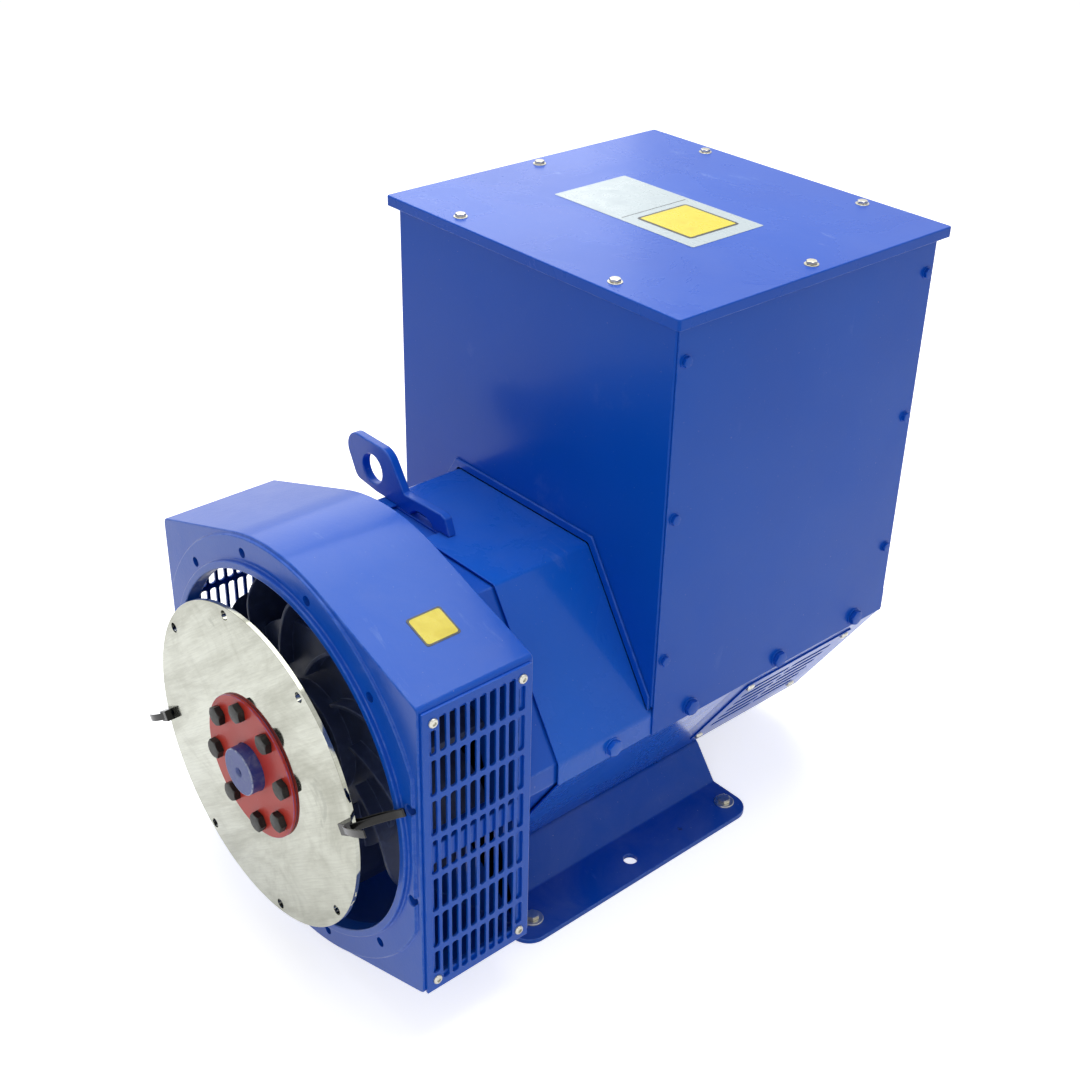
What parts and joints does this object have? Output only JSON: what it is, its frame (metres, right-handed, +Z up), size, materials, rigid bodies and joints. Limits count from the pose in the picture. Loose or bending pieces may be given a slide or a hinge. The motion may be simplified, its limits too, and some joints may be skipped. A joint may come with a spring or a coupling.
{
  "type": "generator alternator head",
  "caption": "Single-bearing alternator head: round engine adaptor with slotted air screens, flexible disc coupling, eight-sided frame, feet and a tall sheet-steel terminal box.",
  "frame": {"origin": "on the shaft axis, in the machined face of the engine flange", "axes": "-Y points out of the engine flange towards the engine, +Y runs along the shaft to the rear, +Z is up, +X is the right side seen from the engine"},
  "size_m": [0.4488, 0.764, 0.6994],
  "materials": {
    "blue_paint": "glossy blue machinery paint",
    "zinc_steel": "bright zinc plate",
    "disc_steel": "bright plated spring steel",
    "red_paint": "red paint",
    "black_steel": "black oxide",
    "fan_alloy": "cast, dark with dust",
    "core_steel": "varnished laminations",
    "shaft_steel": "turned steel",
    "copper": "varnished copper wire",
    "rubber": "matt black",
    "board": "moulded insulation",
    "potting": "black potting",
    "link_brass": "plain",
    "alloy": "plain plate",
    "bearing_steel": "ground",
    "cage_polymer": "natural polyamide"
  },
  "bodies": {
    "alternator": {"adaptor_bolts": "zinc_steel", "air_screen_left": "blue_paint", "air_screen_right": "blue_paint", "bearing_cap": "blue_paint", "bearing_cap_bolts": "blue_paint", "bearing_o_ring": "rubber", "bearing_outer_ring": "bearing_steel", "box_panel_drive_end": "blue_paint", "box_panel_rear": "blue_paint", "bracket_bolts": "zinc_steel", "drive_end_adaptor": "blue_paint", "edging_strip": "blue_paint", "exciter_stator_core": "core_steel", "exciter_stator_winding": "copper", "foot_bolts": "blue_paint", "foot_left": "blue_paint", "foot_right": "blue_paint", "frame_cover_bolts": "blue_paint", "frame_cover_bottom": "blue_paint", "frame_cover_top": "blue_paint", "inlet_louvre_left": "blue_paint", "inlet_louvre_right": "blue_paint", "lid_bolts": "zinc_steel", "lifting_lug": "blue_paint", "louvre_screws": "zinc_steel", "rear_bracket": "blue_paint", "regulator_mounts": "rubber", "screen_screws": "zinc_steel", "side_panel_base_bolts": "blue_paint", "side_panel_bolts": "blue_paint", "side_panel_left": "blue_paint", "side_panel_right": "blue_paint", "stator_core": "core_steel", "stator_frame": "blue_paint", "stator_winding_front": "copper", "stator_winding_rear": "copper", "terminal_board": "board", "terminal_box_lid": "blue_paint", "terminal_links": "link_brass", "terminal_studs": "link_brass", "terminal_tray": "zinc_steel", "voltage_regulator": "potting"},
    "rotor": {"shaft": "shaft_steel", "coupling_hub": "shaft_steel", "coupling_discs": "disc_steel", "pressure_plate": "red_paint", "coupling_bolts": "black_steel", "fan": "fan_alloy", "rotor_core": "core_steel", "rotor_windings": "copper", "winding_wedges": "board", "exciter_rotor_core": "core_steel", "exciter_rotor_winding": "copper", "rectifier_plates": "alloy", "rectifier_diodes": "link_brass", "surge_suppressors": "board", "bearing_inner_ring": "bearing_steel", "bearing_circlip": "black_steel"},
    "rear_bearing_cage": {"bearing_balls": "bearing_steel", "bearing_cage": "cage_polymer"}
  },
  "joints": [
    {"name": "rotor_spin", "type": "hinge", "parent": "alternator", "child": "rotor", "pos_m": [0, 0, 0], "axis": [0, 1, 0], "continuous": true},
    {"name": "bearing_cage_spin", "type": "hinge", "parent": "alternator", "child": "rear_bearing_cage", "pos_m": [0, 0.6625, 0], "axis": [0, 1, 0], "continuous": true}
  ],
  "couplings": [
    {"joint": "bearing_cage_spin", "follows": "rotor_spin", "ratio": 0.3841}
  ]
}
